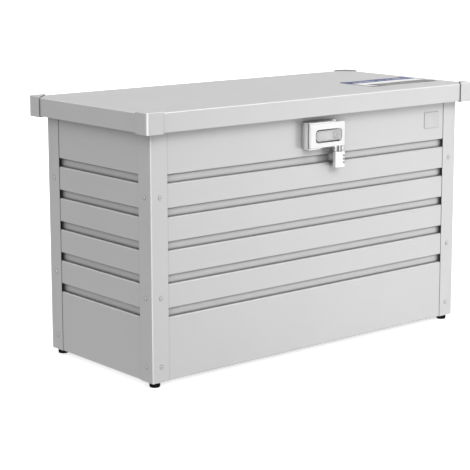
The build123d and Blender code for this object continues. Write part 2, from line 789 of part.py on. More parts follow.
def make_lock():
    front_y = off_panel(lock_face_stand)
    tail_y = panel_front + lock_tail_length
    body = front_extrude(lock_outline(0), face_middle_x, lock_z, 0, lock_face_stand)
    body = fillet(body.edges().group_by(Axis.Y)[0], lock_edge_radius)
    body += rod_y(lock_tail_radius, panel_front, tail_y, lock_x, lock_z)
    body -= rod_y(barrel_radius + barrel_gap, front_y - cut_past, tail_y + cut_past, lock_x, lock_z)
    save("lock_body", body)
    nut = hex_nut(lock_nut_flats, lock_nut_height, lock_tail_radius + lock_nut_gap)
    save("lock_nut", along(Vector(lock_x, panel_front + panel_sheet, lock_z), BACK) * nut)

    key_y = front_y - barrel_proud
    arm_y = tail_y + barrel_tail
    arm_rear = arm_y + cam_sheet
    square = barrel_square / 2
    barrel = rod_y(barrel_radius, key_y, arm_y, lock_x, lock_z)
    barrel = chamfer(barrel.edges().group_by(Axis.Y)[0], barrel_chamfer)
    barrel -= at_lock(key_slot_width / 2, key_slot_height / 2, key_y - cut_past, key_y + key_slot_depth)
    barrel += at_lock(square, square, arm_y, arm_rear)
    save("key_barrel", barrel)

    tip_x = lock_x - cam_reach
    half = cam_width / 2
    arm = at_lock(cam_reach / 2, half, arm_y, arm_rear, lock_x - cam_reach / 2)
    arm += rod_y(barrel_radius, arm_y, arm_rear, lock_x, lock_z)
    arm += block(tip_x, tip_x + cam_finger, arm_y, arm_rear + cam_finger_length, lock_z - half, lock_z + half)
    arm -= at_lock(square, square, arm_y - cut_past, arm_rear + cut_past)
    save("lock_cam", arm)

    lip_top = lock_z + cam_reach - cam_finger - strike_play
    lip_low = lip_top - bracket_sheet
    lip_y = arm_rear + strike_lip_setback
    plate_y = arm_rear + cam_finger_length + strike_clear
    plate_rear = plate_y + bracket_sheet
    half, lip = strike_width / 2, strike_lip_width / 2
    strike = block(lock_x - half, lock_x + half, plate_y, plate_rear, lip_low, lid_under)
    strike += block(lock_x - lip, lock_x + lip, lip_y, plate_rear, lip_low, lip_top)
    strike += block(lock_x - half, lock_x + half, plate_y, plate_y + strike_top_flange,
                    lid_under - bracket_sheet, lid_under)
    save("lock_strike", strike)


# ---------------------------------------------------------------- lock cover and its bracket
pin_stand = cover_stand - cover_barrel_radius
pin_y = off_panel(pin_stand)
cover_inner = cover_stand - cover_sheet
cover_middle_x = -cover_left + cover_width / 2
cover_middle_z = (cover_low + cover_high) / 2
window_middle_x = -cover_left + window_left + window_width / 2
lug_z = lock_z - lug_hole_drop
lug_stands = [padlock_stand - lug_hole_spacing, padlock_stand]    # rear hole, then front hole
padlock_y = off_panel(padlock_stand)


def ear_outline(right, flat):
    """Plan of a bracket ear: X, then stand-off. Round at the pin, curved back to the panel at the right."""
    slant = sin(radians(45))
    nose = bracket_left_margin
    left, front = pin_x - nose, pin_stand + nose
    nose_middle = (pin_x - nose * slant, pin_stand + nose * slant)
    sweep_middle = (flat + (right - flat) * slant, bracket_sheet + (front - bracket_sheet) * slant)
    edges = [
        Line((left, 0), (left, pin_stand)),
        ThreePointArc((left, pin_stand), nose_middle, (pin_x, front)),
        Line((pin_x, front), (flat, front)),
        ThreePointArc((flat, front), sweep_middle, (right, bracket_sheet)),
        Line((right, bracket_sheet), (right, 0)),
        Line((right, 0), (left, 0)),
    ]
    return make_face(edges)


def ear(right, flat, z):
    plane = Plane(origin=(0, panel_front, z + bracket_sheet), x_dir=RIGHT, z_dir=UP * -1)
    return extrude(plane * ear_outline(right, flat), bracket_sheet)


def lug_plate(x0, x1, stands):
    """Upright plate with round ends about its holes, across X."""
    shape = rod_x(lug_radius, x0, x1, off_panel(stands[0]), lug_z)
    for near, far in zip(stands, stands[1:]):
        shape += block(x0, x1, off_panel(far), off_panel(near), lug_z - lug_radius, lug_z + lug_radius)
        shape += rod_x(lug_radius, x0, x1, off_panel(far), lug_z)
    return shape


def drill_lug(shape, stands):
    for stand in stands:
        shape -= rod_x(lug_hole_radius, padlock_x - shackle_spacing, padlock_x + shackle_spacing,
                       off_panel(stand), lug_z)
    return shape


def make_cover_bracket():
    width, height = bracket_right - bracket_left, ear_high - ear_low
    middle_x, middle_z = (bracket_right + bracket_left) / 2, (ear_high + ear_low) / 2
    plate = RectangleRounded(width, height, cover_corner)
    bracket = front_extrude(plate, middle_x, middle_z, 0, bracket_sheet)
    wall_y = off_panel(pin_stand - cover_barrel_radius - wall_gap)
    bracket += block(bracket_left, bracket_left + bracket_sheet, wall_y, off_panel(bracket_wall_slot),
                     ear_low, ear_high)
    bracket += ear(bracket_ear_right, bracket_ear_flat, ear_high - bracket_sheet)
    bracket += ear(bracket_low_ear_right, pin_x + bracket_sheet, ear_low)
    lock_room = lock_outline(bracket_fit)
    bracket -= front_extrude(lock_room, face_middle_x, lock_z, -cut_past, bracket_sheet + cut_past)
    bore = cover_pin_radius + cover_pin_gap
    bracket -= rod_z(bore, ear_low - cut_past, ear_high + cut_past, pin_x, pin_y)
    for x, z in bracket_rivets:
        bracket -= rod_y(rivet_hole, off_panel(bracket_sheet + cut_past), panel_front + cut_past, x, z)
    staple_right = padlock_x - lug_sheet / 2 - staple_gap
    staple_left = staple_right - staple_sheet
    staple = lug_plate(staple_left, staple_right, lug_stands[:1])
    staple += block(staple_left, staple_right, off_panel(lug_stands[0]), off_panel(bracket_sheet / 2),
                    lug_z - lug_radius, lug_z + lug_radius)
    bracket += drill_lug(staple, lug_stands[:1])
    save("cover_bracket", bracket)
    face_y = off_panel(bracket_sheet)
    rivets = [rivet(Vector(x, face_y, z), BACK, bracket_sheet + panel_sheet) for x, z in bracket_rivets]
    save("bracket_rivets", group(rivets))
    pin = rod_z(cover_pin_radius, ear_low - cover_pin_end, ear_high + cover_pin_end, pin_x, pin_y)
    pin += rod_z(cover_pin_head_radius, ear_high, ear_high + cover_pin_head_height, pin_x, pin_y)
    save("cover_pin", pin)


def make_cover():
    """Plate with square left corners, hinge barrel, window and the lug that holds the padlock."""
    plate = RectangleRounded(cover_width, cover_height, cover_corner)
    cover = front_extrude(plate, cover_middle_x, cover_middle_z, cover_inner, cover_stand)
    cover += block(pin_x, -cover_left + 2 * cover_corner, off_panel(cover_stand), off_panel(cover_inner),
                   cover_low, cover_high)
    cover += rod_z(cover_barrel_radius, cover_low, cover_high, pin_x, pin_y)
    window = RectangleRounded(window_width, window_height, window_corner)
    cover -= front_extrude(window, window_middle_x, lock_z, cover_inner - cut_past, cover_stand + cut_past)
    bore = cover_pin_radius + cover_pin_gap
    cover -= rod_z(bore, cover_low - cut_past, cover_high + cut_past, pin_x, pin_y)
    x0, x1 = padlock_x - lug_sheet / 2, padlock_x + lug_sheet / 2
    lug = lug_plate(x0, x1, lug_stands)
    half = lug_tongue_width / 2
    lug += block(x0, x1, padlock_y - half, padlock_y + half, lug_z - lug_tongue_length, lug_z)
    lug -= block(x0 - cut_past, x1 + cut_past, off_panel(cover_stand + lug_radius),
                 off_panel(cover_stand - cover_sheet / 2), lug_z - lug_radius - cut_past,
                 lug_z + lug_radius + cut_past)
    save("lock_cover", cover + drill_lug(lug, lug_stands))


# ---------------------------------------------------------------- padlock
def make_padlock():
    top = lug_z - shackle_hang
    half = shackle_spacing / 2
    left, right = padlock_x - half, padlock_x + half
    bend_z = lug_z - half
    bend_start, bend_end = (left, padlock_y, bend_z), (right, padlock_y, bend_z)
    path = Line((left, padlock_y, top - shackle_short_leg), bend_start)
    path += ThreePointArc(bend_start, (padlock_x, padlock_y, lug_z), bend_end)
    path += Line(bend_end, (right, padlock_y, top - shackle_long_leg))
    shackle = sweep(Plane(origin=path @ 0, z_dir=path % 0) * Circle(shackle_radius), path=path)
    save("padlock_shackle", shackle)

    outline = Circle(dial_radius)
    for k in range(dial_flutes):
        angle = radians(360 * k / dial_flutes)
        outline -= Pos(dial_radius * cos(angle), dial_radius * sin(angle)) * Circle(dial_flute_radius)
    outline -= Circle(shackle_radius + dial_bore_gap)

    half_width, half_depth = padlock_width / 2, padlock_depth / 2
    case = block(padlock_x - half_width, padlock_x + half_width, padlock_y - half_depth,
                 padlock_y + half_depth, top - padlock_height, top)
    case = fillet(case.edges().filter_by(Axis.Z), padlock_edge)
    bore = shackle_radius + shackle_bore_gap
    for x, leg in ((left, shackle_short_leg), (right, shackle_long_leg)):
        case -= rod_z(bore, top - leg - cut_past, top + cut_past, x, padlock_y)
    slot = dial_thickness / 2 + dial_side_gap
    for k in range(dial_count):
        middle = top - dial_top - k * dial_pitch
        case -= rod_z(dial_radius + dial_window_gap, middle - slot, middle + slot, right, padlock_y)
        dial = extrude(Plane.XY.offset(middle - dial_thickness / 2) * outline, dial_thickness)
        save(f"padlock_dial_{k + 1}", Pos(right, padlock_y, 0) * dial)
    save("padlock_case", case)


make_panels()
make_posts()
make_post_fasteners()
make_floor()
make_feet()
make_buffers()
make_lid()
make_stiffeners()
make_caps()
make_hinges()
make_struts()
make_lock()
make_cover_bracket()
make_cover()
make_padlock()
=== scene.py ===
# %% [markdown]
# # Dressing a lockable steel deck box
# The box arrives as a finished assembly of folded sheet, screws, hinges, struts and a padlock. Its shapes
# and its joints are fixed. What is left is what a paint shop, a printer and a lighting crew would do:
# finishes with grain and sparkle, the small things that are laid or pressed on, and a calm studio around
# it. Everything is in metres, in the assembly's own frame: +X runs right along the front, -Y is the front
# and +Z is up.

# %% Load the assembly
import bmesh
import bpy
import json
import math
from mathutils import Matrix, Vector


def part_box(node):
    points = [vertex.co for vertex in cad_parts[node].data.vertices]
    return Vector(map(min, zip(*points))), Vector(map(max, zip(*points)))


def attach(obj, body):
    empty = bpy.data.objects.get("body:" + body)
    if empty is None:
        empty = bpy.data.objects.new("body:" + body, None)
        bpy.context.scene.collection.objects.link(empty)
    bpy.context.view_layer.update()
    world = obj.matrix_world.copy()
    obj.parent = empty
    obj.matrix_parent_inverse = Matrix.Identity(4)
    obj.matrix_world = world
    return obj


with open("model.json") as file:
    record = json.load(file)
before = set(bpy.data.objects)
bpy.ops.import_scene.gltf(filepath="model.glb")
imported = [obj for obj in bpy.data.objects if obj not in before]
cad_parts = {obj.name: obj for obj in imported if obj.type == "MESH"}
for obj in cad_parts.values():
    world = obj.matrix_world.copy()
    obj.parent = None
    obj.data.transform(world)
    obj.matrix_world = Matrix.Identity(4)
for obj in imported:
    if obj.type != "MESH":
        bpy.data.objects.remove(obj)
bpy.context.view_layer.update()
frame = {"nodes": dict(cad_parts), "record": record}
nodes = frame["nodes"]
slot_of = {row["node"]: row["material_slot"] for row in frame["record"]["subparts"]}
MM = 0.001   # a millimetre, in metres

# %% [markdown]
# ## The camera
# The box is seen from its front left corner, a little above the lid, through a long lens that keeps the
# slats nearly parallel. A product camera stands level and shifts its lens down, so that upright edges stay
# upright. Here most of that is done by tilting the camera and the rest by a small shift, so that the box
# stays in the picture from every side.

# %% Camera
CAMERA_PLACE = Vector((-2.3725, -2.775, 0.992))
CAMERA_TURN = 40.48      # degrees to the right of straight along +Y
CAMERA_DIP = 9.72        # degrees below level
SENSOR_WIDTH = 36.0      # this and the focal length are in millimetres
FOCAL_LENGTH = 116.694
LENS_SHIFT = (-0.05, -0.10)   # to the side and up, as shares of the sensor's width


def new_object(name, data):
    """An object around a mesh, a light or a camera, put into the scene."""
    thing = bpy.data.objects.new(name, data)
    bpy.context.scene.collection.objects.link(thing)
    return thing


camera_data = bpy.data.cameras.new("studio_camera")
camera = new_object("studio_camera", camera_data)
bpy.context.scene.camera = camera
camera.location = CAMERA_PLACE
camera.rotation_euler = (math.radians(90 - CAMERA_DIP), 0, math.radians(-CAMERA_TURN))
camera_data.sensor_width = SENSOR_WIDTH
camera_data.lens = FOCAL_LENGTH
camera_data.shift_x, camera_data.shift_y = LENS_SHIFT
camera_data.clip_end = 200.0
print(f"lens {camera_data.lens:.1f} mm, {CAMERA_PLACE.length:.2f} m from the box")

# %% [markdown]
# ## Writing node trees as arithmetic
# Light and finishes are graphs of nodes, but they read better as arithmetic. `Value` wraps one socket, so
# that `0.4 + 0.1 * grain` adds the Math nodes it needs, and a tuple of three on either side makes it Vector
# Math. `Graph.add` makes every other node: its settings go in first, then the values or links of its
# sockets.

# %% Value
class Value:
    """One output socket of a node tree."""

    def __init__(self, graph, socket):
        self.graph, self.socket = graph, socket

    def combine(self, operation, first, second):
        kind = "ShaderNodeMath"
        if isinstance(first, tuple) or isinstance(second, tuple):
            kind = "ShaderNodeVectorMath"
        return self.graph.add(kind, {"operation": operation}, {0: first, 1: second})

    def __add__(self, other):
        return self.combine("ADD", self, other)

    def __radd__(self, other):
        return self.combine("ADD", other, self)

    def __sub__(self, other):
        return self.combine("SUBTRACT", self, other)

    def __rsub__(self, other):
        return self.combine("SUBTRACT", other, self)

    def __mul__(self, other):
        return self.combine("MULTIPLY", self, other)

    def __rmul__(self, other):
        return self.combine("MULTIPLY", other, self)

    def over(self, edge):
        return self.combine("GREATER_THAN", self, edge)

    def under(self, edge):
        return self.combine("LESS_THAN", self, edge)


print("Value is ready")

# %% Graph
class Graph:
    """A node tree that is written as expressions."""

    def __init__(self, tree):
        self.tree = tree

    def put(self, socket, value):
        """Links a Value to a socket, or sets a number, a vector or a colour on it."""
        if isinstance(value, Value):
            self.tree.links.new(value.socket, socket)
        elif isinstance(value, tuple) and len(value) == 3 and socket.type == "RGBA":
            socket.default_value = (*value, 1)
        else:
            socket.default_value = value

    def add(self, kind, settings=None, sockets=None, out=0):
        """One node of any kind: its settings first, then its sockets, by name or number."""
        node = self.tree.nodes.new(kind)
        for name, value in (settings or {}).items():
            if name == "stops":
                for place, height in value[1:-1]:
                    node.color_ramp.elements.new(place)
                for element, (place, height) in zip(node.color_ramp.elements, value):
                    element.position = place
                    element.color = (height, height, height, 1)
            else:
                setattr(node, name, value)
        for name, value in (sockets or {}).items():
            self.put(node.inputs[name], value)
        return Value(self, node.outputs[out])

    def noise(self, where, scale, detail=2.0):
        return self.add("ShaderNodeTexNoise", sockets={"Vector": where, "Scale": scale, "Detail": detail})

    def cells(self, where, scale):
        """A random grey for each small cell."""
        colour = self.add("ShaderNodeTexVoronoi", sockets={"Vector": where, "Scale": scale}, out="Color")
        return self.add("ShaderNodeSeparateColor", sockets={"Color": colour})

    def ramp(self, value, *stops):
        return self.add("ShaderNodeValToRGB", {"stops": stops}, {"Fac": value})

    def axis(self, where, letter):
        return self.add("ShaderNodeSeparateXYZ", sockets={"Vector": where}, out=letter)

    def vector(self, operation, first, second=(0, 0, 0), out=0):
        return self.add("ShaderNodeVectorMath", {"operation": operation}, {0: first, 1: second}, out)

    def larger(self, first, second):
        return self.add("ShaderNodeMath", {"operation": "MAXIMUM"}, {0: first, 1: second})

    def mix(self, mask, colour, other):
        return self.add("ShaderNodeMix", {"data_type": "RGBA"}, {0: mask, 6: colour, 7: other}, out=2)


print("Graph is ready")

# %% [markdown]
# ## Air and light
# A sky dome stands in for a white studio. It is bright a little above the horizon and softer overhead, and
# its lower half is the pale floor giving its light back. On top of it come soft suns, which are easy to
# aim. The front one stands high, so the lid's skirt shades the front under it. The right one stands a
# little lower than the floor: its sheen slides along the front, which brightens that way, and it leaves no
# glare on the lid. The left one keeps the end wall from going flat. The last two face the bends. Satin
# paint spreads most light over flat sheet, but a bend always has one line that mirrors a light to the eye:
# one sun stands behind the lid's front edge, and a small one faces the corner posts. A square panel is the
# only light that stands near the box, so it lights the right end of the front more than the left.

# %% Sky dome
# Each stop is a share of the way up from straight below, and a brightness.
SKY_STOPS = ((0.0, 0.42), (0.47, 0.46), (0.53, 0.34), (0.65, 0.62), (1.0, 0.20))
world = bpy.data.worlds.new("studio_air")
world.use_nodes = True
sky = Graph(world.node_tree)
up = sky.axis(sky.add("ShaderNodeTexCoord", out="Generated"), "Z")
sky.put(world.node_tree.nodes["Background"].inputs["Color"], sky.ramp(0.5 + 0.5 * up, *SKY_STOPS))
bpy.context.scene.world = world
bpy.context.scene.view_settings.view_transform = "Standard"
print("sky dome with", len(SKY_STOPS), "stops")

# %% Suns
SUNS = {   # direction towards the sun, strength, width in degrees
    "front_sun": ((0.0, -0.80, 0.60), 1.34, 30),
    "right_sun": ((0.72, -0.68, -0.17), 0.30, 16),
    "left_sun": ((-0.75, -0.10, 0.65), 0.58, 40),
    "lid_edge_sun": ((0.60, 0.25, 0.75), 1.14, 40),
    "upright_edge_sun": ((-0.76, -0.65, -0.03), 0.58, 6),
}


def aim(light, direction):
    """Turns a light so that it shines from a direction. Lights shine down their own -Z."""
    light.rotation_euler = Vector(direction).to_track_quat("Z", "Y").to_euler()


for name, (towards, strength, width) in SUNS.items():
    sun_data = bpy.data.lights.new(name, "SUN")
    sun_data.energy = strength
    sun_data.angle = math.radians(width)
    aim(new_object(name, sun_data), towards)
print(len(SUNS), "suns")

# %% Near panel
PANEL_PLACE, PANEL_AIM = Vector((1.5, -1.5, 1.2)), Vector((0.2, 0, 0.3))
PANEL_SIZE = 2.2
PANEL_POWER = 7.0   # watts
panel_data = bpy.data.lights.new("near_panel", "AREA")
panel_data.shape = "RECTANGLE"
panel_data.size = PANEL_SIZE
panel_data.size_y = PANEL_SIZE
panel_data.energy = PANEL_POWER
near_panel = new_object("near_panel", panel_data)
near_panel.location = PANEL_PLACE
aim(near_panel, PANEL_PLACE - PANEL_AIM)
print("near panel at", tuple(near_panel.location))

# %% [markdown]
# ## A finish
# `Finish` is a Graph that ends in one shader. Numbers that are the same all over a surface are set straight
# on the shader, and what varies goes to `paint`. Four masks are shared by several finishes. The first finds
# the places where other sheet is near, with the Ambient Occlusion node, and the finishes paint shade there.
# `bends` finds where a face turns from one main direction to another, because every flat sheet of this box
# lies square to the axes. `outer_edges` finds the sharp outer edges, with the Bevel node: it gives the
# normal that a rounded edge would have, and where that leans away from the box the edge is an outer one.
# The powder coat paints a highlight on both. `level` finds the faces that look up. The last three use the
# piece's own directions, so they stay put when the lid opens.

# %% Finish
RAYS = 6   # how many each point sends out, in the masks that look around it


class Finish(Graph):
    """One material. Steady numbers are given by socket name, what varies is given to paint()."""

    made = []

    def __init__(self, name, **steady):
        self.material = bpy.data.materials.new(name)
        self.material.use_nodes = True
        super().__init__(self.material.node_tree)
        self.shader = self.tree.nodes["Principled BSDF"]
        for socket, value in steady.items():
            self.shader.inputs[socket.replace("_", " ")].default_value = value
        Finish.made.append(name)

    def spot(self):
        """Where a point lies on its own piece, so that grain stays put when the piece moves."""
        return self.add("ShaderNodeTexCoord", out="Object")

    def looks(self):
        """Which way a face looks, in its own piece's directions."""
        return self.add("ShaderNodeTexCoord", out="Normal")

    def dust(self, reach, start, full):
        """Mask that is 1 deep in a crease: start and full are how shut in a place has to be."""
        settings = {"samples": RAYS, "only_local": False}
        open_air = self.add("ShaderNodeAmbientOcclusion", settings, {"Distance": reach}, out="AO")
        return self.ramp(1 - open_air, (start, 0.0), (full, 1.0))

    def bends(self, start, full):
        """Mask that is 1 where a face is turned away from all three axes."""
        turned = self.vector("ABSOLUTE", self.looks())
        sideways = self.larger(self.axis(turned, "X"), self.axis(turned, "Y"))
        return self.ramp(1 - self.larger(sideways, self.axis(turned, "Z")), (start, 0.0), (full, 1.0))

    def outer_edges(self, where, reach):
        """Mask that is 1 along an edge where a rounded copy of the face would lean away from the box."""
        eased = self.add("ShaderNodeBevel", {"samples": RAYS}, {"Radius": reach})
        true = self.add("ShaderNodeNewGeometry", out="Normal")
        lean = self.vector("SUBTRACT", eased, true)
        to_piece = {"vector_type": "VECTOR", "convert_from": "WORLD", "convert_to": "OBJECT"}
        lean = self.add("ShaderNodeVectorTransform", to_piece, {"Vector": lean})
        return self.ramp(self.vector("DOT_PRODUCT", lean, where, out="Value"), (0.01, 0.0), (0.07, 1.0))

    def level(self):
        """Mask that is 1 on faces that look straight up."""
        return self.ramp(self.axis(self.looks(), "Z"), (0.90, 0.0), (0.99, 1.0))

    def bump(self, height, depth, strength=1.0):
        """Small relief: height is a pattern, depth its real depth in metres."""
        sockets = {"Strength": strength, "Distance": depth, "Height": height}
        return self.add("ShaderNodeBump", sockets=sockets)

    def paint(self, **sockets):
        for name, value in sockets.items():
            self.put(self.shader.inputs[name.replace("_", " ")], value)
        return self


def grey(value):
    return (value, value, value)


print("Finish is ready")

# %% [markdown]
# ## Silver powder coat
# Most of the box is steel with a satin silver powder coat. The coat has three scales of detail: metal
# flakes well under a millimetre that glitter a little, the soft orange peel of the melted powder at about
# two millimetres, and slow drifts of tone from sheet to sheet. Bends are painted paler as a painted
# highlight, most of all on the lid and the corners. Shade is painted in at two scales: a dark line in every
# tight crease and at every step between sheets, and a soft darkening where other sheet is near, deepest
# under the lid's skirt. A thin film of dust on every level face takes its shine away. The colour of the
# flat faces only moves by a few percent, or the sheet would look like stone.

# %% Powder coat
CREASE_REACH, SHELTER_REACH = 4 * MM, 45 * MM
# The shares of painted shade in creases and under overhangs, the grey of that painted shade, and the paler
# grey of the painted highlight on bends.
CREASE_SHADE_SHARE, SHELTER_SHADE_SHARE = 0.52, 0.90
PAINTED_SHADE, PAINTED_HIGHLIGHT = grey(0.07), grey(0.96)
FLAKES, PEEL, BLOTCHES, DRIFT = 1500.0, 420.0, 60.0, 5.0   # how many to a metre
SHINE = 0.36
EDGE_REACH = 2.2 * MM


def powder_coat(name, dark, light, shine, highlight_share, edge_reach=0.0):
    """Satin metallic powder coat between two greys. The fifth argument is how much its bends are painted
    paler and glossier, a painted highlight.
    """
    coat = Finish(name, Metallic=0.20, Specular_IOR_Level=0.40, Coat_Roughness=0.20)
    where = coat.spot()
    flakes = coat.cells(where, FLAKES)
    drift = coat.noise(where, DRIFT, 3.0)
    peel = coat.noise(where, PEEL, 1.0)
    # Painted shade: a dark line in tight creases and at steps between sheets, patchy with blotches.
    crease_shade = coat.dust(CREASE_REACH, 0.04, 0.28) * (0.85 + 0.3 * coat.noise(where, BLOTCHES, 4.0))
    # Painted shade: a soft darkening wherever sheet is near within a few centimetres, deepest under the
    # lid's skirt.
    shelter_shade = coat.dust(SHELTER_REACH, 0.14, 0.60)
    film = coat.level()
    # Painted highlight: the bends, and the outer edges where an edge reach is given, are painted paler.
    bend_highlight = coat.bends(0.03, 0.20)
    if edge_reach > 0:
        bend_highlight = coat.larger(bend_highlight, coat.outer_edges(where, edge_reach))
    clean = coat.mix(0.30 + 0.34 * drift + 0.22 * flakes, dark, light)
    # The painted highlight goes on first, then the painted shade under overhangs and in creases.
    clean = coat.mix(highlight_share * bend_highlight, clean, PAINTED_HIGHLIGHT)
    clean = coat.mix(SHELTER_SHADE_SHARE * shelter_shade, clean, PAINTED_SHADE)
    coat.paint(Base_Color=coat.mix(CREASE_SHADE_SHARE * crease_shade, clean, PAINTED_SHADE))
    coat.paint(Roughness=shine + 0.10 * flakes + 0.07 * drift + 0.10 * crease_shade + 0.26 * film)
    coat.paint(Coat_Weight=(0.24 + 0.12 * drift) * (1 - 0.95 * film) + 0.60 * highlight_share * bend_highlight)
    return coat.paint(Normal=coat.bump(peel + 0.35 * flakes, 0.00004, 0.55)).material


silver = (grey(0.485), grey(0.615), SHINE)
finishes = {"powder_coat": powder_coat("silver_powder_coat", *silver, 0.62)}
# The lid and the corner pieces get a stronger painted highlight on their bends; the corner pieces on their
# outer edges too.
lid_coat = powder_coat("lid_powder_coat", *silver, 0.80)
corner_coat = powder_coat("corner_powder_coat", *silver, 0.85, EDGE_REACH)
print("silver powder coat for sheets, lid and corners")

# %% [markdown]
# ## Bright metals
# The lock cover and its bracket are brushed stainless, the padlock is satin nickel, and the screws, rivets
# and nuts are zinc plated. Brushing is noise that is stretched about fifty times along one direction, and a
# casting has the same noise without the stretch. Plating has soft clouds instead, and galvanised sheet has
# spangle, flat crystals a few millimetres wide that each catch the light differently. Stainless sheet that
# is kept outdoors is paler than a mirror, so it is only part metallic. Most brushed parts get painted shade
# in their corners too.

# %% Brushed metals
SHEET_GRAIN = (90.0, 90.0, 5200.0)    # how fine the grain is along X, Y and Z
CASE_GRAIN = (4200.0, 4200.0, 110.0)
PLATE_GRAIN = (3000.0, 3000.0, 70.0)
CAST_GRAIN = (700.0, 700.0, 700.0)


def brushed(name, dark, light, shine, grain, metal, corner_shade=0.0):
    """Brushed metal between two greys. The last argument is how much painted shade darkens its corners."""
    steel = Finish(name, Metallic=metal, IOR=1.6)
    where = steel.spot()
    lines = steel.noise(where * grain, 1.0, 4.0)
    smudge = steel.noise(where, 34.0, 4.0)
    clean = steel.mix(0.25 + 0.45 * lines + 0.25 * smudge, grey(dark), grey(light))
    if corner_shade > 0:
        # Painted shade: the corners darken where the Ambient Occlusion node finds sheet near, softly under
        # overhangs and sharply in creases.
        clean = steel.mix(corner_shade * steel.dust(SHELTER_REACH, 0.46, 0.70), clean, PAINTED_SHADE)
        clean = steel.mix(corner_shade * steel.dust(CREASE_REACH, 0.30, 0.80), clean, PAINTED_SHADE)
    steel.paint(Base_Color=clean, Roughness=shine + 0.14 * lines + 0.10 * smudge)
    return steel.paint(Normal=steel.bump(lines, 0.00003, 0.5)).material


finishes["stainless"] = brushed("brushed_stainless", 0.86, 0.97, 0.30, SHEET_GRAIN, 0.15, 0.25)
finishes["padlock_body"] = brushed("satin_nickel", 0.62, 0.80, 0.24, CASE_GRAIN, 0.40, 0.60)
finishes["lock_grey"] = brushed("satin_die_casting", 0.38, 0.53, 0.34, CAST_GRAIN, 0.35, 0.85)
cover_finish = brushed("brushed_cover", 0.62, 0.80, 0.28, SHEET_GRAIN, 0.35, 0.85)
barrel_finish = brushed("turned_barrel", 0.24, 0.38, 0.22, CAST_GRAIN, 0.55, 0.5)
print("stainless, nickel and die casting")

# %% Plated and galvanised steel
def plated(name, dark, light, shine):
    """Thin bright plating with soft clouds."""
    zinc = Finish(name, Metallic=0.82)
    where = zinc.spot()
    clouds = zinc.noise(where, 160.0, 3.0)
    pits = zinc.noise(where, 1800.0, 2.0)
    zinc.paint(Base_Color=zinc.mix(0.2 + 0.6 * clouds, dark, light))
    zinc.paint(Roughness=shine + 0.12 * clouds + 0.06 * pits)
    return zinc.paint(Normal=zinc.bump(pits, 0.00002, 0.4)).material


def galvanised(name, dark, light):
    """Hot-dip galvanised sheet with its spangle."""
    sheet = Finish(name, Metallic=0.70)
    where = sheet.spot()
    wander = sheet.add("ShaderNodeTexNoise", sockets={"Vector": where, "Scale": 60.0}, out="Color")
    spangle = sheet.cells(where + (0.004, 0.004, 0.004) * wander, 150.0)
    dull = sheet.noise(where, 12.0, 3.0)
    sheet.paint(Base_Color=sheet.mix(0.15 + 0.5 * spangle + 0.25 * dull, dark, light))
    sheet.paint(Roughness=0.34 + 0.14 * spangle + 0.08 * dull)
    return sheet.paint(Normal=sheet.bump(spangle, 0.00002, 0.3)).material


finishes["zinc"] = plated("zinc_plating", (0.62, 0.63, 0.65), (0.86, 0.865, 0.87), 0.24)
finishes["chrome_rod"] = plated("hard_chrome", (0.86, 0.865, 0.875), (0.95, 0.95, 0.955), 0.05)
finishes["galvanised"] = galvanised("galvanised_spangle", (0.46, 0.48, 0.50), (0.70, 0.715, 0.73))
print("zinc, chrome and galvanised")

# %% [markdown]
# ## Moulded and stoved parts
# The feet and buffers are moulded rubber with a faint bloom, and the strut tubes are stove-enamelled and
# glossier. Both are nearly black, so it is their roughness that tells them apart. The padlock's dials are
# moulded in silver-grey plastic, and take the same recipe with paler colours. So do the paint in the dials'
# numerals and the hollow of a screw's drive.

# %% Rubber, enamel and dial plastic
def moulded(name, dark, light, shine, grain, depth, gloss=0.32):
    """Moulded or stoved finish. grain is how fine its texture is and depth how deep it is, in metres."""
    plain = Finish(name, Specular_IOR_Level=gloss)
    where = plain.spot()
    fine = plain.noise(where, grain, 3.0)
    bloom = plain.noise(where, 45.0, 4.0)
    plain.paint(Base_Color=plain.mix(0.1 + 0.5 * bloom + 0.2 * fine, dark, light))
    plain.paint(Roughness=shine + 0.14 * bloom + 0.08 * fine)
    return plain.paint(Normal=plain.bump(fine, depth, 0.6)).material


rubber = (grey(0.003), grey(0.009), 0.62, 1400.0, 0.00006)
enamel = ((0.006, 0.006, 0.007), (0.016, 0.016, 0.017), 0.16, 350.0, 0.00002)
finishes["black_rubber"] = moulded("moulded_rubber", *rubber, gloss=0.12)
finishes["strut_black"] = moulded("stove_enamel", *enamel)
finishes["dial_plastic"] = moulded("dial_plastic", grey(0.30), grey(0.46), 0.34, 2600.0, 0.00002)
print("rubber, enamel and dial plastic")

# %% [markdown]
# ## Giving each node its finish
# The record names a material slot for every node. A node keeps its mesh, and only the material in its slot
# changes. A few nodes get a finish of their own: the lid and the corner pieces get a stronger painted
# highlight on their bends than the walls, the lock cover is duller than its bracket and has more painted
# shade in its corners, and the barrel's turned face is darker than the casting.

# %% Assign the finishes
def wear(thing, material):
    """Puts a finish in every slot of a thing, or gives it a slot."""
    if thing.material_slots:
        for place in thing.material_slots:
            place.material = material
    else:
        thing.data.materials.append(material)


own_finish = {"lid_shell": lid_coat, "lock_cover": cover_finish, "key_barrel": barrel_finish}
own_finish.update({name: corner_coat for name in nodes if name.endswith(("_post", "_cap"))})
for name, node in nodes.items():
    wear(node, own_finish.get(name, finishes[slot_of[name]]))
print(len(own_finish), "nodes have a finish of their own")

# %% [markdown]
# ## Helpers for the small pieces
# Small pieces are drawn flat, as an outline in two directions, then raised to a thickness and set against
# the face that carries them. Round ones are turned instead: a profile of radii and heights is spun about
# the drawing's Z. A place on the box is a matrix. On the front, the drawing's X stays X, its Y runs up and
# its thickness comes forward. On the lid, the drawing lies flat and its thickness goes up.

# %% Places and outlines
def on_front(x, y, z):
    """Drawing plane on a face that looks forward, centred at a point."""
    return Matrix.Translation((x, y, z)) @ Matrix.Rotation(math.radians(90), 4, "X")


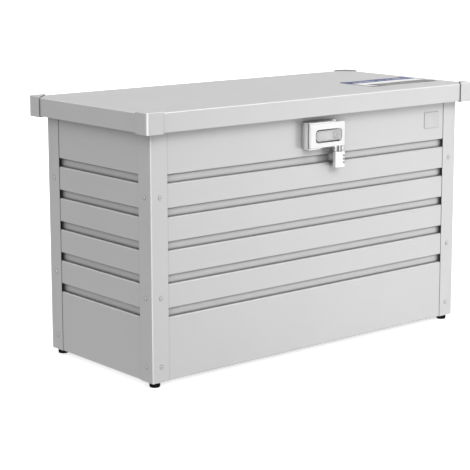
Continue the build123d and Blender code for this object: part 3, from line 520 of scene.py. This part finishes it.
def facing(place, direction):
    """Drawing plane at a point, whose thickness goes in a direction."""
    return Matrix.Translation(place) @ Vector(direction).to_track_quat("Z", "Y").to_matrix().to_4x4()


def rounded(width, height, corner, steps=6):
    """Outline of a rectangle with rounded corners, anticlockwise."""
    points = []
    for quarter, (right, top) in enumerate(((1, 1), (-1, 1), (-1, -1), (1, -1))):
        for step in range(steps + 1):
            angle = math.radians(90 * (quarter + step / steps))
            points.append((right * (width / 2 - corner) + corner * math.cos(angle),
                           top * (height / 2 - corner) + corner * math.sin(angle)))
    return points


def circle(radius, count):
    """Corners spread evenly round a circle, anticlockwise."""
    turns = [2 * math.pi * k / count for k in range(count)]
    return [(radius * math.cos(turn), radius * math.sin(turn)) for turn in turns]


print("rounded outline:", len(rounded(0.05, 0.04, 0.002)), "points")

# %% Raised plates
def raise_outline(mesh, points, thickness, edge, place):
    """Adds a plate to a bmesh: an outline raised to a thickness, with its upper edge bevelled."""
    before = set(mesh.verts)
    face = mesh.faces.new([mesh.verts.new((x, y, 0)) for x, y in points])
    top = bmesh.ops.extrude_face_region(mesh, geom=[face])["geom"]
    lifted = [v for v in top if isinstance(v, bmesh.types.BMVert)]
    bmesh.ops.translate(mesh, verts=lifted, vec=(0, 0, thickness))
    if edge > 0:
        rim = [e for e in top if isinstance(e, bmesh.types.BMEdge)]
        bmesh.ops.bevel(mesh, geom=rim, offset=edge, segments=3, profile=0.6, affect="EDGES",
                        clamp_overlap=True)
    added = [v for v in mesh.verts if v not in before]
    bmesh.ops.transform(mesh, matrix=place, verts=added)


print("raise_outline is ready")

# %% Turned pieces
def skin(mesh, rows):
    """Joins rows of corners, each row a closed ring, with faces."""
    for low, high in zip(rows, rows[1:]):
        for k in range(len(low)):
            after = (k + 1) % len(low)
            mesh.faces.new((low[k], low[after], high[after], high[k]))


def turn_profile(mesh, profile, count, place, hollow=False):
    """Adds a turned piece: (radius, height) pairs in millimetres. A hollow one is a closed ring."""
    rows = []
    for radius, height in profile:
        points = [Vector((x, y, height * MM)) for x, y in circle(radius * MM, count)]
        rows.append([mesh.verts.new(place @ point) for point in points])
    if hollow:
        skin(mesh, rows + rows[:1])
    else:
        skin(mesh, rows)
        mesh.faces.new(list(reversed(rows[0])))
        mesh.faces.new(rows[-1])


print("turn_profile is ready")

# %% From a drawing to a piece
def to_object(name, mesh):
    """Puts a bmesh into the scene as an object."""
    data = bpy.data.meshes.new(name)
    mesh.to_mesh(data)
    mesh.free()
    return new_object(name, data)


def settle(name, mesh, material, body):
    """Turns a bmesh into a piece that wears a finish and rides on a body."""
    bmesh.ops.recalc_face_normals(mesh, faces=mesh.faces)
    piece = to_object(name, mesh)
    piece.data.shade_smooth()
    corners = piece.modifiers.new("crisp_corners", "EDGE_SPLIT")
    corners.split_angle = math.radians(40)
    wear(piece, material)
    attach(piece, body)
    return piece


print("settle is ready")

# %% [markdown]
# ## The badge plate
# High on the right of the front there is a small oblong plate, about as thick as a coin. It was coated
# together with the box, so it only shows by its bevelled edge, which catches the light and a painted
# highlight, and by the painted shade along its foot. It is left bare.

# %% Badge
BADGE_WIDTH, BADGE_HEIGHT, BADGE_CORNER = 50 * MM, 39 * MM, 1.5 * MM
BADGE_THICKNESS, BADGE_BEVEL = 1.0 * MM, 0.5 * MM
BADGE_X, BADGE_Z = 388.7 * MM, 520.5 * MM
panel_low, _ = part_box("front_panel")
badge = bmesh.new()
badge_outline = rounded(BADGE_WIDTH, BADGE_HEIGHT, BADGE_CORNER)
badge_place = on_front(BADGE_X, panel_low.y, BADGE_Z)
raise_outline(badge, badge_outline, BADGE_THICKNESS, BADGE_BEVEL, badge_place)
# Like the box's coat: a painted highlight on its bevel and painted shade at its foot.
badge_finish = powder_coat("badge_powder_coat", grey(0.485), grey(0.615), 0.40, 0.85)
settle("badge_plate", badge, badge_finish, "cabinet")
print(f"badge {BADGE_WIDTH / MM:.0f} x {BADGE_HEIGHT / MM:.0f} mm")

# %% [markdown]
# ## The sheet on the lid
# A delivery note lies on the lid near its right end: white paper with a wide blue band along its rear edge,
# which has a row of pale chips in it, and a greyer strip of plain bars along the front. It carries no
# words. Paper never lies quite flat, so the mesh is a fine grid whose corners lift a little, with a long
# slow wave across it. The print is made by masks in the sheet's own coordinates.

# %% Printed paper
SHEET_WIDTH, SHEET_DEPTH = 225 * MM, 120 * MM
BAND, CHIPS = 44 * MM, (14 * MM, 33 * MM)    # how far these lie from the rear edge
STRIP, BARS = 44 * MM, (3 * MM, 40 * MM)     # and these from the front edge
STRIP_INSET, BARS_INSET = 18 * MM, 24 * MM   # how far they start from the left edge
CHIPS_INSET = (22 * MM, 12 * MM)             # and the chips from both ends
BAND_BLUE, CHIP_BLUE = (0.035, 0.06, 0.20), (0.60, 0.64, 0.76)


def stripe(along, start, end):
    """Mask that is 1 between two distances."""
    return along.over(start) * along.under(end)


def printed_paper():
    paper = Finish("delivery_note", Roughness=0.55, Specular_IOR_Level=0.4, Coat_Roughness=0.12)
    where = paper.spot()
    across, deep = paper.axis(where, "X"), paper.axis(where, "Y")
    rear, front = SHEET_DEPTH / 2, -SHEET_DEPTH / 2
    left, right = -SHEET_WIDTH / 2, SHEET_WIDTH / 2
    fibre = paper.noise(where, 900.0, 4.0)
    band = deep.over(rear - BAND)
    chips = paper.cells(where * (110.0, 90.0, 1.0), 1.0).over(0.45)
    chip_row = stripe(deep, rear - CHIPS[1], rear - CHIPS[0])
    chip_row = chip_row * stripe(across, left + CHIPS_INSET[0], right - CHIPS_INSET[1])
    bars = stripe(paper.noise(where * (1.0, 0.0, 0.0), 300.0, 0.0), 0.42, 0.58)
    code = bars * stripe(deep, front + BARS[0], front + BARS[1]) * across.over(left + BARS_INSET)
    shade = deep.under(front + STRIP) * across.over(left + STRIP_INSET)
    colour = paper.mix(fibre, grey(0.80), grey(0.90))
    colour = paper.mix(0.74 * shade, colour, grey(0.14))
    colour = paper.mix(0.80 * code, colour, grey(0.06))
    colour = paper.mix(band, colour, BAND_BLUE)
    colour = paper.mix(0.6 * band * chips * chip_row, colour, CHIP_BLUE)
    paper.paint(Base_Color=colour, Coat_Weight=0.12 + 0.3 * shade)
    return paper.paint(Normal=paper.bump(fibre, 0.00003, 0.4)).material


print("delivery note paper")

# %% Lay the sheet
NOTE_X, NOTE_Y = 362 * MM, -75 * MM
PAPER = 0.2 * MM   # its thickness
COLUMNS, ROWS = 36, 20


def paper_height(u, v):
    """How far the paper stands off the lid, in millimetres. u and v run from -0.5 to 0.5."""
    wave = 0.22 * math.sin(9 * u + 2 * v) + 0.16 * math.sin(7 * v - 3 * u)
    lifted_corner = 8.8 * max(0.0, abs(u) + abs(v) - 0.78) ** 1.5
    return 0.5 + wave + lifted_corner


_, lid_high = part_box("lid_shell")
sheet = bmesh.new()
sheet_rows = []
for j in range(ROWS + 1):
    v = j / ROWS - 0.5
    steps = [i / COLUMNS - 0.5 for i in range(COLUMNS + 1)]
    points = [(u * SHEET_WIDTH, v * SHEET_DEPTH, paper_height(u, v) * MM) for u in steps]
    sheet_rows.append([sheet.verts.new(point) for point in points])
for low, high in zip(sheet_rows, sheet_rows[1:]):
    for i in range(COLUMNS):
        sheet.faces.new((low[i], low[i + 1], high[i + 1], high[i]))
note = to_object("delivery_note", sheet)
note.data.shade_smooth()
note.matrix_world = Matrix.Translation((NOTE_X, NOTE_Y, lid_high.z))
thickness = note.modifiers.new("paper_thickness", "SOLIDIFY")
thickness.thickness = PAPER
thickness.offset = 1.0
wear(note, printed_paper())
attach(note, "lid")
print("sheet", COLUMNS, "by", ROWS, "squares")

# %% [markdown]
# ## The lock face behind the window
# Behind the cover's window is a satin die casting. Its left half carries a thin bare name plate, and the
# key barrel at its right sits in a raised round collar. The collar is turned: a profile spun about the
# barrel's axis.

# %% Name plate and collar
body_low, body_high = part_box("lock_body")
_, barrel_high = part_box("key_barrel")
BARREL_RADIUS = 8 * MM
PLATE_X = 8 * MM
PLATE_WIDTH, PLATE_HEIGHT, PLATE_CORNER = 42 * MM, 19.5 * MM, 5.5 * MM
PLATE_THICKNESS, PLATE_BEVEL = 0.5 * MM, 0.2 * MM
lock_x = barrel_high.x - BARREL_RADIUS
lock_z = (body_low.z + body_high.z) / 2
lock_face = body_low.y
plate_finish = brushed("name_plate", 0.40, 0.57, 0.28, PLATE_GRAIN, 0.30)
plate = bmesh.new()
plate_outline = rounded(PLATE_WIDTH, PLATE_HEIGHT, PLATE_CORNER)
plate_place = on_front(PLATE_X, lock_face, lock_z)
raise_outline(plate, plate_outline, PLATE_THICKNESS, PLATE_BEVEL, plate_place)
settle("lock_name_plate", plate, plate_finish, "cabinet")

outer, inner = 11.0, 8.25
soft = 0.35     # width of the slope on each side of the collar's flat
collar_profile = [(outer, 0.0), (outer, 0.25), (outer - soft, 0.55),
                  (inner + soft, 0.55), (inner, 0.25), (inner, 0.0)]
collar = bmesh.new()
turn_profile(collar, collar_profile, 48, on_front(lock_x, lock_face, lock_z), hollow=True)
settle("key_collar", collar, finishes["lock_grey"], "cabinet")
print(f"collar {2 * outer:.0f} mm across at x {lock_x / MM:.0f}, z {lock_z / MM:.1f}")

# %% [markdown]
# ## Drive recesses in the screws
# Each domed screw has a six-sided drive recess in its crown. It is too small to be worth cutting, so the
# shade in it is painted: a hexagon in a darker grey that lies a hair above the flat of the crown. The
# screws are one node, so their places come from its outermost corners: two faces at each post, three
# heights.

# %% Screw recesses
# Painted shade for the drive recesses. The padlock's index marks wear the same dark grey as their own
# paint.
shade_and_mark_finish = moulded("recess_shade_and_mark_paint", grey(0.16), grey(0.26), 0.5, 2000.0, 0.00002)
RECESS_RADIUS, RECESS_LIFT = 1.25 * MM, 0.03 * MM
CROWN_DEPTH = 0.02 * MM     # how near the outermost plane a corner has to be
CROWN_GRID = 30 * MM        # finer than the screws' spacing, so one crown falls in one square
screws_low, screws_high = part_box("post_screws")
crowns = {}
for vertex in nodes["post_screws"].data.vertices:
    x, y, z = vertex.co
    sides = (("left", x - screws_low.x, (-1, 0, 0), y), ("right", screws_high.x - x, (1, 0, 0), y),
             ("front", y - screws_low.y, (0, -1, 0), x), ("rear", screws_high.y - y, (0, 1, 0), x))
    for side, depth, normal, along in sides:
        if depth < CROWN_DEPTH:
            square = (side, round(along / CROWN_GRID), round(z / CROWN_GRID))
            crowns.setdefault(square, (normal, []))[1].append((x, y, z))
recess_shades = bmesh.new()
for normal, corners in crowns.values():
    middle = (Vector(map(min, *corners)) + Vector(map(max, *corners))) / 2
    raise_outline(recess_shades, circle(RECESS_RADIUS, 6), RECESS_LIFT, 0.0, facing(middle, normal))
settle("screw_recess_shades", recess_shades, shade_and_mark_finish, "cabinet")
print(len(crowns), "screw crowns found")

# %% [markdown]
# ## Numbers on the padlock's dials
# Each dial carries ten numerals, one on every land between its flutes. They are real text outlines, filled,
# set on the dial's rim and turned to face outwards. Numerals are the one kind of lettering that belongs on
# any such lock.

# %% Dial numerals
numeral_finish = moulded("numeral_paint", grey(0.03), grey(0.06), 0.4, 1800.0, 0.00001)
LANDS, DIALS = 10, (1, 2, 3)
NUMERAL_SIZE, NUMERAL_RAISE = 3.1 * MM, 0.02 * MM
SET_IN = 0.995         # a numeral's back lies just inside the dial's rim
TURNED_ON = 3          # numerals by which each dial is turned on from the one before
UP = Vector((0, 0, 1))


def numeral_mesh(digit):
    """One numeral, filled and a little raised."""
    words = bpy.data.curves.new(f"numeral_{digit}", "FONT")
    words.body = str(digit)
    words.align_x = words.align_y = "CENTER"
    words.size = NUMERAL_SIZE
    words.extrude = NUMERAL_RAISE
    words.resolution_u = 3
    holder = new_object(f"numeral_{digit}", words)
    drawn = holder.evaluated_get(bpy.context.evaluated_depsgraph_get())
    shape = bpy.data.meshes.new_from_object(drawn)
    bpy.data.objects.remove(holder)
    bpy.data.curves.remove(words)
    return shape


numerals = [numeral_mesh(digit) for digit in range(LANDS)]
for k in DIALS:
    low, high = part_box(f"padlock_dial_{k}")
    middle = (low + high) / 2
    radius = (high.y - low.y) / 2
    dial_print = bmesh.new()
    for digit, shape in enumerate(numerals):
        turn = math.radians(360 * (digit + 0.5 + TURNED_ON * k) / LANDS)
        outward = Vector((math.cos(turn), math.sin(turn), 0))
        sideways = Vector((-math.sin(turn), math.cos(turn), 0))
        upright = Matrix((sideways, UP, outward)).transposed().to_4x4()
        before = set(dial_print.verts)
        dial_print.from_mesh(shape)
        added = [v for v in dial_print.verts if v not in before]
        place = Matrix.Translation(middle + outward * (radius * SET_IN)) @ upright
        bmesh.ops.transform(dial_print, matrix=place, verts=added)
    settle(f"dial_{k}_numerals", dial_print, numeral_finish, f"dial_{k}")
print(f"{LANDS} numerals on each of {len(DIALS)} dials, {radius / MM:.1f} mm from their axes")

# %% [markdown]
# ## Padlock trim
# Where the shackle enters the case there is a small rolled collar round each leg, and beside the dials a
# tiny index mark shows where to read the number. The collars are turned pieces with a soft crown, the marks
# are flat triangles.

# %% Padlock collars
case_low, case_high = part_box("padlock_case")
shackle_low, shackle_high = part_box("padlock_shackle")
LEG_RADIUS = 2.5 * MM
CASE_COLLAR = [(3.7, 0.0), (3.7, 0.25), (3.45, 0.55), (2.95, 0.6), (2.62, 0.35), (2.62, 0.0)]
case_middle = (case_low.y + case_high.y) / 2
trim = bmesh.new()
for x in (shackle_low.x + LEG_RADIUS, shackle_high.x - LEG_RADIUS):
    place = Matrix.Translation((x, case_middle, case_high.z))
    turn_profile(trim, CASE_COLLAR, 32, place, hollow=True)
settle("padlock_collars", trim, finishes["padlock_body"], "padlock")
print("collars round the shackle's legs")

# %% Index marks
MARK = [(0.9 * MM, 0), (-0.5 * MM, 0.6 * MM), (-0.5 * MM, -0.6 * MM)]
MARK_RAISE = 0.04 * MM
MARK_INSET = 9.4 * MM      # from the right side of the case
mark_x = case_high.x - MARK_INSET
marks = bmesh.new()
for k in DIALS:
    low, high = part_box(f"padlock_dial_{k}")
    place = facing((mark_x, case_low.y, (low.z + high.z) / 2), (0, -1, 0))
    raise_outline(marks, MARK, MARK_RAISE, 0.0, place)
settle("dial_index_marks", marks, shade_and_mark_finish, "padlock")
print(len(DIALS), "index marks")

# %% [markdown]
# ## Inside: welds and seals
# With the lid up, the inside shows. Folded steel is held by spot welds, each a low round mark that is a
# little sunk in the middle. They run along the flanges of the lid's two stiffeners and round the strut
# plates. The strut tubes end in a rubber wiper ring where the polished rod comes out.

# %% Spot welds
WELD, WELD_SIDES = [(2.6, 0.0), (2.3, 0.12), (1.6, 0.2), (0.7, 0.16)], 20
FLANGE_SHEET, FOOT_SHEET = 0.8 * MM, 2 * MM
WELDS_IN_ROW = 9
END_INSET, FLANGE_INSET, FOOT_INSET = 20 * MM, 7 * MM, 5 * MM   # from the edges of the sheet
lid_welds = bmesh.new()
for name in ("front_lid_stiffener", "rear_lid_stiffener"):
    low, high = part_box(name)
    spacing = (high.x - low.x - 2 * END_INSET) / (WELDS_IN_ROW - 1)
    for y in (low.y + FLANGE_INSET, high.y - FLANGE_INSET):
        for k in range(WELDS_IN_ROW):
            spot = (low.x + END_INSET + k * spacing, y, high.z - FLANGE_SHEET)
            turn_profile(lid_welds, WELD, WELD_SIDES, facing(spot, (0, 0, -1)))
settle("stiffener_welds", lid_welds, finishes["powder_coat"], "lid")

plate_welds = bmesh.new()
for side, normal in (("left", (1, 0, 0)), ("right", (-1, 0, 0))):
    low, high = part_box(f"{side}_strut_foot")
    face_x = low.x + FOOT_SHEET if side == "left" else high.x - FOOT_SHEET
    for y in (low.y + FOOT_INSET, high.y - FOOT_INSET):
        for z in (low.z + FOOT_INSET, high.z - FOOT_INSET):
            turn_profile(plate_welds, WELD, WELD_SIDES, facing((face_x, y, z), normal))
settle("strut_plate_welds", plate_welds, finishes["galvanised"], "cabinet")
print("welds on the stiffeners and the strut plates")

# %% Wiper rings
EYE_RADIUS, EYE_REACH = 8 * MM, 14 * MM   # the reach is how much of a strut's end belongs to its eye
WIPER = [(8.2, 0.0), (8.2, 1.2), (6.6, 2.0), (4.6, 2.1), (4.25, 1.4), (4.25, 0.0)]


def middle_depth(points):
    """Where some corners lie from front to rear, on average."""
    return sum(point.y for point in points) / len(points)


def strut_mouth(side):
    """Centre of the upper end of a strut's tube, and the tube's direction: from eye to eye."""
    tube_low, tube_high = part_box(f"{side}_strut_tube")
    _, rod_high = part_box(f"{side}_strut_rod")
    tube = [corner.co for corner in nodes[f"{side}_strut_tube"].data.vertices]
    rod = [corner.co for corner in nodes[f"{side}_strut_rod"].data.vertices]
    lower_eye = middle_depth([p for p in tube if p.z < tube_low.z + EYE_REACH])
    upper_eye = middle_depth([p for p in rod if p.z > rod_high.z - EYE_REACH])
    middle = (tube_low.x + tube_high.x) / 2
    foot = Vector((middle, lower_eye, tube_low.z + EYE_RADIUS))
    head = Vector((middle, upper_eye, rod_high.z - EYE_RADIUS))
    line = (head - foot).normalized()
    reach = max((p - foot).dot(line) for p in tube)
    return foot + line * reach, line


for side in ("left", "right"):
    wiper = bmesh.new()
    turn_profile(wiper, WIPER, 40, facing(*strut_mouth(side)), hollow=True)
    settle(f"{side}_strut_wiper", wiper, finishes["black_rubber"], f"{side}_strut_tube")
print("wiper rings on both struts")

# %% [markdown]
# ## The floor
# A wide, pale, slightly rough sheet that runs far past the picture, so that no horizon shows unless the
# camera stands very low. It is staging, and not part of the box. It takes the box's shadow, but it gives no
# light back to the box, where the dome's lower half stands in for it. It casts no shade either, so that the
# low suns shine through it.

# %% Floor
FLOOR_OUTLINE = [(-90, -60), (90, -60), (90, 120), (-90, 120)]
FLOOR_DEPTH = 0.01
ground = Finish("studio_floor", Specular_IOR_Level=0.15, Emission_Color=(1, 1, 1, 1), Emission_Strength=0.6)
drift = ground.noise(ground.spot(), 0.7, 2.0)
ground.paint(Base_Color=ground.mix(drift, grey(0.90), grey(0.93)), Roughness=0.75 + 0.1 * drift)
slab = bmesh.new()
raise_outline(slab, FLOOR_OUTLINE, FLOOR_DEPTH, 0.0, Matrix.Translation((0, 0, -FLOOR_DEPTH)))
floor = to_object("studio_floor", slab)
wear(floor, ground.material)
floor.visible_diffuse = False
floor.visible_glossy = False
floor.visible_shadow = False

# %% [markdown]
# ## The end
# The dressed pieces are kept inside the assembly's own box. The last line counts the finishes.

# %% Count the finishes
print(len(Finish.made), "finishes")
